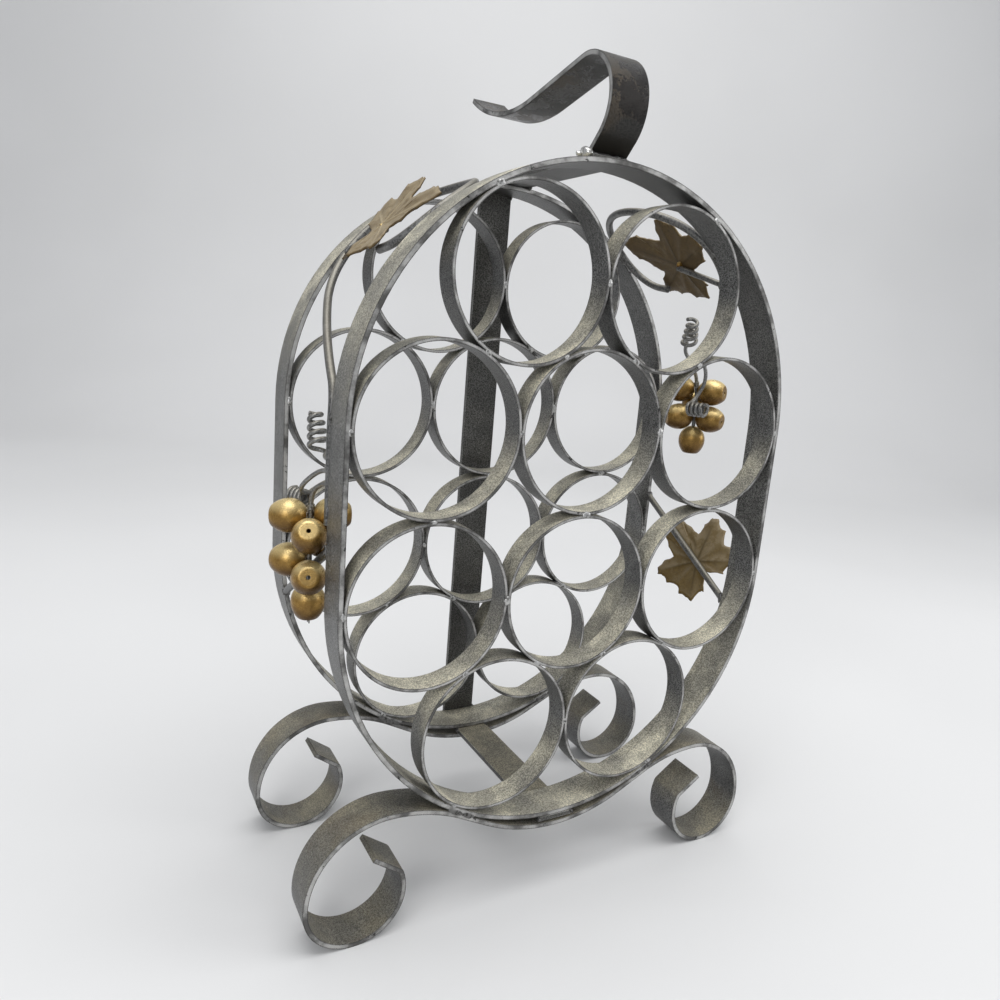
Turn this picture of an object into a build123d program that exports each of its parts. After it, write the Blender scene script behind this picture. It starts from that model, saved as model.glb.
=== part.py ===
from build123d import *
import os
from math import asin, cos, pi, radians, sin, sqrt, tan

# Oval wine rack, a weldment of flat steel strip with a vine ornament.
# Millimetres. X runs across the rack, Y from its front to its back, Z up.
# The origin is on the floor, under the middle of the two frames.

# Bottle rings, hoops and the two frames
RING_OD = 100.0
RING_WALL = 2.0
RING_WIDTH = 16.0
HOOP_WALL = 3.0
STRIP_WIDTH = 25.0      # depth of the hoops and of the foot strips
FRAME_PITCH = 125.0     # front edge of one frame to front edge of the other
WELD_GAP = 0.15         # joint between two pieces, filled by the weld

# Foot strips
FOOT_WALL = 3.0
FOOT_TOUCH_DEG = 27.0   # where the strip touches the hoop, from straight down
ARCH_R = 100.0
SHOULDER_R = 50.0
SCROLL_R = 30.0
SCROLL_LIFT_DEG = 20.0  # turn of the scroll past its upright inner side
CREASE_R = 4.0
CREASE_DEG = 35.0
SCROLL_TIP = 20.0
DIP_ROOM = 2.0          # room between the bottom bar and the dip of the strip

# Bars and handle
BAR_WIDTH = 25.0
BAR_WALL = 3.0
TOP_BAR_SETBACK = 12.0  # front end of the top bar behind the front edge
SPINE_WIDTH = 25.0
SPINE_WALL = 3.0
HANDLE_WIDTH = 25.0
HANDLE_WALL = 3.0
HANDLE_SETBACK = 17.8   # middle of the handle's foot behind the front edge
HANDLE_LEG = 13.2
HANDLE_LEG_DEG = 45.0
HANDLE_NOSE_R = 26.5
HANDLE_ARM = 58.0
HANDLE_FALL_DEG = 12.0
HANDLE_SWEEP_R = 110.0
HANDLE_TIP_DEG = 33.0

# Vine stems of round rod on the oval, between the two hoops; places along the oval are
# measured up it from the top of its straight side
ROD_D = 5.0
STALK_D = 4.0
WIRE_D = 2.8
LEFT_STEM_RUN = 62.0    # straight end of a stem beside the near hoop
RIGHT_STEM_RUN = 21.0
LOW_BEND_R = 22.0       # bend away from the near hoop
SLANT_DEG = 52.0
HIGH_BEND_R = 80.0      # bend up to the far hoop
CROOK_AT = 130.0        # where the crook begins
HOOK_R = 27.0
HOOK_DEG = 80.0
HOOK_TIP = 8.0

# Leaves: half an outline by angle from the tip and share of the tip's length
LEAF_TIP = 54.0
LEAF_EDGE = [
    (0, 1.0), (9, 0.89), (14, 0.80), (16, 0.69), (24, 0.57), (36, 0.42), (45, 0.57),
    (55, 0.68), (63, 0.69), (70, 0.59), (79, 0.59), (97, 0.46), (108, 0.54), (122, 0.54),
    (133, 0.58), (146, 0.44), (155, 0.45), (168, 0.28), (180, 0.22),
]
LEAF_RIBS = [(0, 0.84), (60, 0.57), (-60, 0.57), (131, 0.46), (-131, 0.46)]
LEAF_WALL = 1.2
VEIN_WIDTH = 1.8
VEIN_RISE = 0.7
LEAF_BEND_R = 250.0     # curl of a leaf's sides, outwards
LEAF_UP = 120.0         # stalk end of an upper leaf along the oval
LEAF_ASIDE = 5.0        # and beside the middle of the rack
LEAF_TILT_DEG = 4.0
STALK_DROP = 16.0       # how far the stalk comes down the oval
LOW_ROD_TOP = -70.0     # ends of a slanting rod along the oval
LOW_ROD_FOOT = -127.0
LOW_LEAF_SHIFT = 18.0   # stalk end of the lower leaf from the middle of its rod
LOW_LEAF_TILT_DEG = 25.0

# Bunches: foot of the wire on the stem, its distance from the hoop, top and end of its
# straight length; each grape by its turn round the wire from straight inwards, its height
# above the end of the wire and its dip below level
BUNCH_OUT = 4.1         # how far the wire stands off the oval
LEFT_BUNCH = (-34.0, 23.0, -48.0, -95.5)
RIGHT_BUNCH = (43.0, 38.0, 28.0, -6.0)
GRAPE_D = 20.0
GRAPE_INNER = 10.5      # widest place to the end beside the wire
GRAPE_OUTER = 10.5      # widest place to the free end
GRAPE_NECK_D = 6.0      # flat end beside the wire
GRAPE_FLAT_D = 11.0     # flat free end
GRAPE_RIM_R = 2.5
GRAPE_HOLE_D = 2.5
LEFT_GRAPES = [
    (149, 39.2, 5), (252, 31.2, -32), (140, 12.6, 5), (253.5, 7.3, -18), (351, 40.8, 0), (40, 23, 0),
]
RIGHT_GRAPES = [(116.5, 26.2, 0), (318.5, 29, 0), (112.5, 6.8, 5), (337, 7, 5), (231.5, 16.4, 0)]

# Tendrils: foot along the oval, side it leaves by, and where the coil begins along the
# oval, aside and outwards
COIL_PITCH = 5.0
COIL_WIDE_R = 5.2       # an upright coil slims from this
COIL_SLIM_R = 3.2       # to this
COIL_LEAN = 0.5         # lean to the back for each rise of one
LYING_PITCH = 3.4
LYING_COIL_R = 4.1
LYING_LEAN = 0.4        # lean outwards for each run of one
COIL_TURNS = 4
LEFT_UPRIGHT = (-20.0, 1, (-16.0, -24.0, 0.0))
LEFT_LYING = (-27.0, 1, (-49.0, -13.0, 2.5))
RIGHT_UPRIGHT = (44.0, -1, (58.0, -12.0, 0.0))
RIGHT_LYING = (51.0, 1, (10.0, 3.0, -16.0))

# Sizes that follow from those above
RING_PITCH = RING_OD + WELD_GAP
HALF_SIDE = RING_PITCH / 2
HOOP_IN_R = RING_PITCH + RING_OD / 2 + WELD_GAP
HOOP_OUT_R = HOOP_IN_R + HOOP_WALL
OVAL_R = (HOOP_IN_R + HOOP_OUT_R) / 2
OVAL_TOP = HALF_SIDE + HOOP_OUT_R
FRONT_Y = -(FRAME_PITCH + STRIP_WIDTH) / 2
REAR_Y = FRONT_Y + FRAME_PITCH
INNER_Y = REAR_Y
BACK_Y = REAR_Y + STRIP_WIDTH

TOUCH = radians(FOOT_TOUCH_DEG)
TOUCH_R = HOOP_OUT_R + WELD_GAP + FOOT_WALL / 2
ARCH_TOP = -HALF_SIDE - TOUCH_R * cos(TOUCH) + ARCH_R * (1 - cos(TOUCH))
CENTRE_Z = SHOULDER_R + SCROLL_R + FOOT_WALL / 2 - ARCH_TOP

BAR_TOP_Z = CENTRE_Z + OVAL_TOP + WELD_GAP + BAR_WALL
RUN_V = INNER_Y - ROD_D / 2 - WELD_GAP
SLANT = radians(SLANT_DEG)
SLANT_RUN = (2 * RUN_V - (LOW_BEND_R + HIGH_BEND_R) * (1 - cos(SLANT))) / sin(SLANT)
BEND_START = CROOK_AT - (LOW_BEND_R + HIGH_BEND_R) * sin(SLANT) - SLANT_RUN * cos(SLANT)

AFT = Vector(0, 1, 0)


def walk(x, y, heading, moves):
    """Middle line of a bent strip: (length, 0) runs straight, (radius, degrees) bends."""
    legs = []
    turned = radians(heading)
    for size, turn in moves:
        angle = radians(turn)
        stops = []
        for part in (0.0, 0.5, 1.0):
            if turn == 0:
                at = (x + part * size * cos(turned), y + part * size * sin(turned), turned)
            else:
                way = 1 if turn > 0 else -1
                now = turned + part * angle
                px = x + way * size * (sin(now) - sin(turned))
                py = y - way * size * (cos(now) - cos(turned))
                at = (px, py, now)
            stops.append(at)
        legs.append((stops, turn))
        x, y, turned = stops[2]
    return legs


def strip_face(legs, wall):
    """Flat outline of a strip of the given wall along its middle line."""
    edges = []
    ends = []
    for side in (wall / 2, -wall / 2):
        for stops, turn in legs:
            pts = [(px - side * sin(a), py + side * cos(a)) for px, py, a in stops]
            if turn == 0:
                edges.append(Line(pts[0], pts[2]))
            else:
                edges.append(ThreePointArc(*pts))
        first = legs[0][0][0]
        last = legs[-1][0][2]
        ends.append([(p[0] - side * sin(p[2]), p[1] + side * cos(p[2])) for p in (first, last)])
    edges.append(Line(ends[0][0], ends[1][0]))
    edges.append(Line(ends[0][1], ends[1][1]))
    return make_face(edges)


def upright(back_y):
    """Plane of a frame, with its outline drawn in X and Z from the middle of the oval."""
    return Plane(origin=(0, back_y, CENTRE_Z), x_dir=(1, 0, 0), z_dir=(0, -1, 0))


def hoop(front_y):
    outer = SlotCenterToCenter(2 * HALF_SIDE, 2 * HOOP_OUT_R, rotation=90)
    inner = SlotCenterToCenter(2 * HALF_SIDE, 2 * HOOP_IN_R, rotation=90)
    return extrude(upright(front_y + STRIP_WIDTH) * (outer - inner), STRIP_WIDTH)


def ring(front_y, x, z):
    outline = Pos(x, z) * (Circle(RING_OD / 2) - Circle(RING_OD / 2 - RING_WALL))
    return extrude(upright(front_y + RING_WIDTH) * outline, RING_WIDTH)


def ring_centres():
    """Rows of two, three, three and two rings, packed as close as they go."""
    high = HALF_SIDE + RING_PITCH * sqrt(3) / 2
    rows = [(high, 2), (HALF_SIDE, 3), (-HALF_SIDE, 3), (-high, 2)]
    return [(RING_PITCH * (i - (n - 1) / 2), z) for z, n in rows for i in range(n)]


def foot_strip(front_y):
    """Scroll, arch, touch under the hoop and dip below the bottom bar, the same on both sides."""
    dip = -OVAL_TOP - 2 * WELD_GAP - BAR_WALL - DIP_ROOM - FOOT_WALL / 2
    lines_meet = -HALF_SIDE - TOUCH_R / cos(TOUCH)
    dip_r = (dip - lines_meet) / (1 / cos(TOUCH) - 1)
    moves = [
        (dip_r, FOOT_TOUCH_DEG),
        ((TOUCH_R - dip_r) * tan(TOUCH), 0),
        (ARCH_R, -FOOT_TOUCH_DEG),
        (SHOULDER_R, -90),
        (SCROLL_R, -180 - SCROLL_LIFT_DEG),
        (CREASE_R, -CREASE_DEG),
        (SCROLL_TIP, 0),
    ]
    outline = strip_face(walk(0, dip, 0, moves), FOOT_WALL)
    half = extrude(upright(front_y + STRIP_WIDTH) * outline, STRIP_WIDTH)
    return half + mirror(half, about=Plane.YZ)


def handle():
    """Leg on the top bar, round nose at the front, arm to the back and upturned tip."""
    seat = BAR_TOP_Z + WELD_GAP
    sunk = HANDLE_WALL
    lean = radians(HANDLE_LEG_DEG)
    moves = [
        (HANDLE_LEG + sunk, 0),
        (HANDLE_NOSE_R, HANDLE_LEG_DEG - 180 - HANDLE_FALL_DEG),
        (HANDLE_ARM, 0),
        (HANDLE_SWEEP_R, HANDLE_FALL_DEG + HANDLE_TIP_DEG),
    ]
    y0 = FRONT_Y + HANDLE_SETBACK + sunk * cos(lean)
    z0 = seat - sunk * sin(lean)
    outline = strip_face(walk(y0, z0, 180 - HANDLE_LEG_DEG, moves), HANDLE_WALL)
    whole = extrude(Plane.YZ * outline, HANDLE_WIDTH / 2, both=True)
    return split(whole, bisect_by=Plane(origin=(0, 0, seat), z_dir=(0, 0, 1)), keep=Keep.TOP)


def bar(width, wall, y_from, y_to, z_from):
    """Flat bar from front to back, by the height of its underside."""
    middle = Pos(0, (y_from + y_to) / 2, z_from + wall / 2)
    return middle * Box(width, y_to - y_from, wall)


def on_oval(along, aside, out=0.0):
    """Point on the left side of the oval and the direction that climbs it there."""
    r = OVAL_R + out
    if along > 0:
        angle = along / OVAL_R
        spot = Vector(-r * cos(angle), aside, CENTRE_Z + HALF_SIDE + r * sin(angle))
        return spot, Vector(sin(angle), 0, cos(angle))
    if along < -2 * HALF_SIDE:
        angle = -(along + 2 * HALF_SIDE) / OVAL_R
        spot = Vector(-r * cos(angle), aside, CENTRE_Z - HALF_SIDE - r * sin(angle))
        return spot, Vector(-sin(angle), 0, cos(angle))
    return Vector(-r, aside, CENTRE_Z + HALF_SIDE + along), Vector(0, 0, 1)


def biarc(p, t, q, s):
    """Two arcs from p, leaving along t, to q, arriving along s."""
    v = q - p
    both = t + s
    spread = 2 * (1 - t.dot(s))
    if spread < 1e-9:
        if v.cross(t).length < 1e-6:
            return [Edge.make_line(p, q)]
        reach = v.dot(v) / (4 * v.dot(t))
    else:
        vt = v.dot(both)
        reach = (sqrt(vt * vt + spread * v.dot(v)) - vt) / spread
    joint = (p + t * reach + q - s * reach) * 0.5
    middle = ((q - s * reach) - (p + t * reach)).normalized()
    return [Edge.make_tangent_arc(p, t, joint), Edge.make_tangent_arc(joint, middle, q)]


def tube(nodes, diameter):
    """Round rod through points with directions, one unbroken sweep."""
    edges = []
    for (p, t), (q, s) in zip(nodes, nodes[1:]):
        edges += biarc(p, t, q, s)
    start = Plane(origin=nodes[0][0], z_dir=nodes[0][1])
    return sweep(start * Circle(diameter / 2), path=Wire(edges)), edges


def stem_nodes(run):
    """Stem beside the near hoop, across to the far one, over in a crook and back in a hook."""
    moves = [
        (run, 0),
        (LOW_BEND_R, SLANT_DEG),
        (SLANT_RUN, 0),
        (HIGH_BEND_R, -SLANT_DEG),
        (RUN_V, -90),
        (RUN_V, -90),
        (HOOK_R, -HOOK_DEG),
        (HOOK_TIP, 0),
    ]
    nodes = []
    for stops, turn in walk(BEND_START - run, -RUN_V, 0, moves):
        for along, aside, heading in stops[1 if nodes else 0:]:
            spot, climb = on_oval(along, aside)
            nodes.append((spot, climb * cos(heading) + AFT * sin(heading)))
    return nodes


def stem_at(along):
    """Where a stem is beside the middle of the rack, and its heading, below its crook."""
    if along < BEND_START:
        return -RUN_V, 0.0
    low_top = BEND_START + LOW_BEND_R * sin(SLANT)
    high_from = CROOK_AT - HIGH_BEND_R * sin(SLANT)
    if along < low_top:
        heading = asin((along - BEND_START) / LOW_BEND_R)
        return LOW_BEND_R * (1 - cos(heading)) - RUN_V, heading
    if along < high_from:
        start = LOW_BEND_R * (1 - cos(SLANT)) - RUN_V
        return start + (along - low_top) * tan(SLANT), SLANT
    heading = asin((CROOK_AT - along) / HIGH_BEND_R)
    return RUN_V - HIGH_BEND_R * (1 - cos(heading)), heading


def stem_foot(along, way):
    """Foot of a wire on the stem, and the way it leaves."""
    aside, heading = stem_at(along)
    spot, climb = on_oval(along, aside)
    leave = (AFT * cos(heading) - climb * sin(heading)) * way
    return spot + leave * (ROD_D / 2 + WELD_GAP), leave


def tendril(foot, leave, base, axis, start, wide_r, slim_r, pitch):
    """Wire from its foot on the stem into a slimming coil round an axis."""
    side = axis.cross(start)
    nodes = [(foot, leave), (foot + leave * WIRE_D, leave)]
    slim = (slim_r - wide_r) / COIL_TURNS
    for i in range(4 * COIL_TURNS + 1):
        turns = i / 4
        r = wide_r + slim * turns
        a = 2 * pi * turns
        out = start * cos(a) + side * sin(a)
        way = axis * pitch + out * slim + (side * cos(a) - start * sin(a)) * (2 * pi * r)
        nodes.append((base + axis * (pitch * turns) + out * r, way.normalized()))
    last, way = nodes[-1]
    nodes.append((last + way * WIRE_D, way))
    return tube(nodes, WIRE_D)


def coil_gap(edges):
    """Least gap of a tendril to itself, measured on points along its middle line."""
    pts = []
    run = 0.0
    for edge in edges:
        for i in range(6):
            pts.append((edge @ (i / 6), run + edge.length * i / 6))
        run += edge.length
    least = min(
        (p - q).length
        for i, (p, at) in enumerate(pts)
        for q, bt in pts[:i]
        if at - bt > 3 * WIRE_D
    )
    return least - WIRE_D


def leaf_face():
    """Toothed vine leaf of five lobes round the end of its stalk, tip along X."""
    other = [(-angle, share) for angle, share in LEAF_EDGE[-2:0:-1]]
    pts = []
    for angle, share in LEAF_EDGE + other:
        a = radians(angle)
        pts.append((LEAF_TIP * share * cos(a), LEAF_TIP * share * sin(a)))
    return make_face(Polyline(*pts, close=True))


def vein_face():
    """Ribs along the lobes, from the stalk nearly to the tips."""
    ribs = None
    for angle, share in LEAF_RIBS:
        reach = LEAF_TIP * share
        rib = Rot(0, 0, angle) * Pos(reach / 2, 0) * Rectangle(reach, VEIN_WIDTH)
        ribs = rib if ribs is None else ribs + rib
    return ribs


def leaf(base, rod_d, tip_way, out, tilt_deg):
    """Leaf laid on a rod and tipped about it, its sides curling outwards, veins outside."""
    flat = (out - tip_way * out.dot(tip_way)).normalized()
    tilt = radians(tilt_deg)
    up = flat * cos(tilt) - flat.cross(tip_way) * sin(tilt)
    seat = base + up * (rod_d / 2 + WELD_GAP)
    plane = Plane(origin=seat, x_dir=tip_way, z_dir=up)
    core = Plane(origin=seat + up * LEAF_BEND_R, z_dir=tip_way)
    depth = LEAF_TIP / 2
    tall = 4 * LEAF_TIP
    blade = extrude(plane * leaf_face(), depth, both=True)
    veins = extrude(plane * vein_face(), depth, both=True)
    round_bar = core * Cylinder(LEAF_BEND_R, tall)
    sheet = round_bar - core * Cylinder(LEAF_BEND_R - LEAF_WALL, tall)
    raised = round_bar - core * Cylinder(LEAF_BEND_R - LEAF_WALL - VEIN_RISE, tall)
    return (blade & sheet) + (veins & raised)


def upper_leaf():
    """Leaf under the crook, and its stalk, whose end is cut to saddle the stem."""
    lift = (ROD_D - STALK_D) / 2
    at = LEAF_UP - STALK_DROP
    aside, heading = stem_at(at)
    base, climb = on_oval(LEAF_UP, LEAF_ASIDE, lift)
    land, _ = on_oval(at, aside, lift)
    stem, stem_climb = on_oval(at, aside)
    way = (land - base).normalized()
    stalk = extrude(Plane(origin=base, z_dir=way) * Circle(STALK_D / 2), (land - base).length)
    stem_way = stem_climb * cos(heading) + AFT * sin(heading)
    saddle = Plane(origin=stem, z_dir=stem_way) * Cylinder(ROD_D / 2 + WELD_GAP, 4 * ROD_D)
    blade = leaf(base, STALK_D, way * -1, climb.cross(AFT), LEAF_TILT_DEG)
    return blade, stalk - saddle


def lower_leaf():
    """Leaf on a slanting rod, whose ends meet the edges of the two hoops."""
    top, _ = on_oval(LOW_ROD_TOP, -INNER_Y)
    foot, _ = on_oval(LOW_ROD_FOOT, INNER_Y)
    way = (top - foot).normalized()
    over = ROD_D
    long_rod = Plane(origin=foot - way * over, z_dir=way) * Circle(ROD_D / 2)
    long_rod = extrude(long_rod, (top - foot).length + 2 * over)
    room = Box(4 * OVAL_R, 2 * (INNER_Y - WELD_GAP), 8 * OVAL_R)
    base = (top + foot) * 0.5 - way * LOW_LEAF_SHIFT
    blade = leaf(base, ROD_D, way, Vector(-1, 0, 0), LOW_LEAF_TILT_DEG)
    return blade, long_rod & room


def grape_side(flat, half):
    """Radius of a grape's side from its widest place to a flat end of the given radius."""
    slim = GRAPE_D / 2 - flat
    return (slim ** 2 + half ** 2) / (2 * slim)


def grape_reach(tilt):
    """From a grape's widest place to the wire, which its neck or its side leans against."""
    neck = GRAPE_NECK_D / 2
    side = grape_side(neck, GRAPE_INNER)
    if side * cos(tilt) < GRAPE_INNER:
        return side - (side - GRAPE_D / 2) * sin(tilt)
    return GRAPE_INNER * cos(tilt) + neck * sin(tilt)


def grape():
    """Egg-shaped bead with flat ends and a hole for its wire, inner end down."""
    r = GRAPE_D / 2
    hole = GRAPE_HOLE_D / 2

    def bulge(flat, half):
        side = grape_side(flat, half)
        a = asin(half / side) / 2
        return r - side + side * cos(a), side * sin(a)

    neck = GRAPE_NECK_D / 2
    free = GRAPE_FLAT_D / 2
    ix, iy = bulge(neck, GRAPE_INNER)
    ox, oy = bulge(free, GRAPE_OUTER)
    outline = make_face([
        Line((hole, -GRAPE_INNER), (neck, -GRAPE_INNER)),
        ThreePointArc((neck, -GRAPE_INNER), (ix, -iy), (r, 0)),
        ThreePointArc((r, 0), (ox, oy), (free, GRAPE_OUTER)),
        Line((free, GRAPE_OUTER), (hole, GRAPE_OUTER)),
        Line((hole, GRAPE_OUTER), (hole, -GRAPE_INNER)),
    ])
    rim = outline.vertices().group_by(Axis.Y)[-1].sort_by(Axis.X)[-1]
    outline = fillet(rim, GRAPE_RIM_R)
    return revolve(Plane.XZ * outline, axis=Axis.Z)


def bunch(place, spots):
    """Wire from the stem down a bunch, the grapes round it and one under its end."""
    foot_along, inset, top, end = place
    aside = inset - INNER_Y
    nodes = [stem_foot(foot_along, 1)]
    for along in sorted({top, min(top, 0.0), end}, reverse=True):
        spot, climb = on_oval(along, aside, BUNCH_OUT)
        nodes.append((spot, climb * -1))
    wire, _ = tube(nodes, WIRE_D)
    bead = grape()
    beads = []
    for turn, rise, dip in spots:
        a = radians(turn)
        tilt = radians(dip)
        spot, climb = on_oval(end + rise, aside, BUNCH_OUT)
        away = AFT.cross(climb) * cos(a) + AFT * sin(a)
        way = away * cos(tilt) - climb * sin(tilt)
        reach = WIRE_D / 2 + WELD_GAP + grape_reach(abs(tilt))
        beads.append(Plane(origin=spot + away * reach, z_dir=way) * bead)
    last, climb = on_oval(end, aside, BUNCH_OUT)
    below = last - climb * (WELD_GAP + GRAPE_INNER)
    beads.append(Plane(origin=below, z_dir=climb * -1) * bead)
    return wire, beads


def half_turn(shape):
    """The right side's ornament is the left side's, turned about the middle of the rack."""
    return Rot(0, 0, 180) * shape


def build():
    parts = {}
    for name, front_y in (("front", FRONT_Y), ("rear", REAR_Y)):
        parts[name + "_hoop"] = hoop(front_y)
        parts[name + "_foot_strip"] = foot_strip(front_y)
        for i, (x, z) in enumerate(ring_centres(), 1):
            parts[f"{name}_ring_{i:02d}"] = ring(front_y, x, z)

    under = CENTRE_Z - OVAL_TOP - WELD_GAP - BAR_WALL
    parts["bottom_cross_bar"] = bar(BAR_WIDTH, BAR_WALL, FRONT_Y, BACK_Y, under)
    over = CENTRE_Z + OVAL_TOP + WELD_GAP
    bar_front = FRONT_Y + TOP_BAR_SETBACK
    parts["top_cross_bar"] = bar(BAR_WIDTH, BAR_WALL, bar_front, BACK_Y, over)
    spine = Box(SPINE_WIDTH, SPINE_WALL, 2 * OVAL_TOP)
    parts["rear_spine"] = Pos(0, BACK_Y + WELD_GAP + SPINE_WALL / 2, CENTRE_Z) * spine
    parts["handle"] = handle()

    left_stem, _ = tube(stem_nodes(LEFT_STEM_RUN), ROD_D)
    right_stem, _ = tube(stem_nodes(RIGHT_STEM_RUN), ROD_D)
    parts["left_vine_stem"] = left_stem
    parts["right_vine_stem"] = half_turn(right_stem)

    blade, stalk = upper_leaf()
    parts["left_leaf"] = blade
    parts["left_leaf_stalk"] = stalk
    parts["right_leaf"] = half_turn(blade)
    parts["right_leaf_stalk"] = half_turn(stalk)
    low_blade, low_rod = lower_leaf()
    parts["right_lower_leaf"] = half_turn(low_blade)
    parts["right_lower_rod"] = half_turn(low_rod)
    parts["left_lower_rod"] = low_rod

    wire, beads = bunch(LEFT_BUNCH, LEFT_GRAPES)
    parts["left_bunch_wire"] = wire
    for i, bead in enumerate(beads, 1):
        parts[f"left_grape_{i}"] = bead
    wire, beads = bunch(RIGHT_BUNCH, RIGHT_GRAPES)
    parts["right_bunch_wire"] = half_turn(wire)
    for i, bead in enumerate(beads, 1):
        parts[f"right_grape_{i}"] = half_turn(bead)

    coils = {
        "left_upright_tendril": LEFT_UPRIGHT,
        "left_lying_tendril": LEFT_LYING,
        "right_upright_tendril": RIGHT_UPRIGHT,
        "right_lying_tendril": RIGHT_LYING,
    }
    for name, (along, way, place) in coils.items():
        foot, leave = stem_foot(along, way)
        base, climb = on_oval(*place)
        if "upright" in name:
            axis = (climb + AFT * COIL_LEAN).normalized()
            start = (AFT - climb * COIL_LEAN).normalized() * way
            coil = (COIL_WIDE_R, COIL_SLIM_R, COIL_PITCH)
        else:
            axis = (AFT + climb.cross(AFT) * LYING_LEAN).normalized()
            start = climb
            coil = (LYING_COIL_R, LYING_COIL_R, LYING_PITCH)
        wire, edges = tendril(foot, leave, base, axis, start, *coil)
        print(f"{name}: least gap to itself {coil_gap(edges):.2f} mm")
        parts[name] = wire if name.startswith("left") else half_turn(wire)
    return parts


def main():
    os.makedirs("parts", exist_ok=True)
    for name, shape in build().items():
        export_step(shape, f"parts/{name}.step")


if __name__ == "__main__":
    main()
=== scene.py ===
import math
import random

import bmesh
import bpy
from mathutils import Matrix, Vector, noise


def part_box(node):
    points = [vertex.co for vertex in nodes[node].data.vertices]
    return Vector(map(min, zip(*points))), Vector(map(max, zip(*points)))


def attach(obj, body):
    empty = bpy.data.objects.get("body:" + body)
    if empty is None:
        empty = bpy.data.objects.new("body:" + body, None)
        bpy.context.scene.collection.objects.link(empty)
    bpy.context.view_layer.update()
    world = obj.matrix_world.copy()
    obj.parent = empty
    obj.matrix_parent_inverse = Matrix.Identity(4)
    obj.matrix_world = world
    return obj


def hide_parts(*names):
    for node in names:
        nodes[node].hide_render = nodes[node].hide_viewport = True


# Oval wine rack: materials for its solids, crinkled leaves, welds, ties, light and camera.
# Metres. X runs across the rack, Y from its front to its back, Z up.

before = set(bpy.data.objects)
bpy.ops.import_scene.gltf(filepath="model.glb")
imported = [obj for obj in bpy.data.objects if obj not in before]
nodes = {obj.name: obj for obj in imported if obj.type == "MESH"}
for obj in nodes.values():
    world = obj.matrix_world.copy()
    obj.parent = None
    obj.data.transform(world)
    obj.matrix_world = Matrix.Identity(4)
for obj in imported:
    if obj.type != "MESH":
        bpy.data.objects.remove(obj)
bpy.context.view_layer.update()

# Places of the hoops and of the top bar, from the boxes of their nodes
hoop_low, hoop_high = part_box("front_hoop")
rear_low, rear_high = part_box("rear_hoop")
bar_low, bar_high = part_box("top_cross_bar")
FRONT_Y = hoop_low.y
REAR_Y = rear_low.y
BACK_Y = rear_high.y
INNER_Y = REAR_Y            # inner side of a hoop, from the middle of the rack
CENTRE_Z = (hoop_low.z + hoop_high.z) / 2
BAR_FRONT_Y = bar_low.y
BAR_TOP = bar_high.z

# Sizes of the solids that the pieces below sit on
WELD_GAP = 0.00015
RING_R = 0.050
RING_WIDTH = 0.016
HOOP_WALL = 0.003
STRIP_WIDTH = 0.025
PITCH = 2 * RING_R + WELD_GAP
HALF = PITCH / 2
HOOP_IN = PITCH + RING_R + WELD_GAP
HOOP_OUT = HOOP_IN + HOOP_WALL
OVAL_R = HOOP_IN + HOOP_WALL / 2
FOOT_TOUCH = math.radians(27.0)
HANDLE_FOOT_Y = FRONT_Y + 0.0178
ROD_R = 0.0025
STALK_R = 0.0020
RUN_V = INNER_Y - ROD_R - WELD_GAP
CROOK_AT = 0.130
HIGH_BEND_R = 0.080
LOW_ROD_TOP = -0.070
LOW_ROD_FOOT = -0.127
FRAMES = {"front": FRONT_Y, "rear": REAR_Y}


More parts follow.
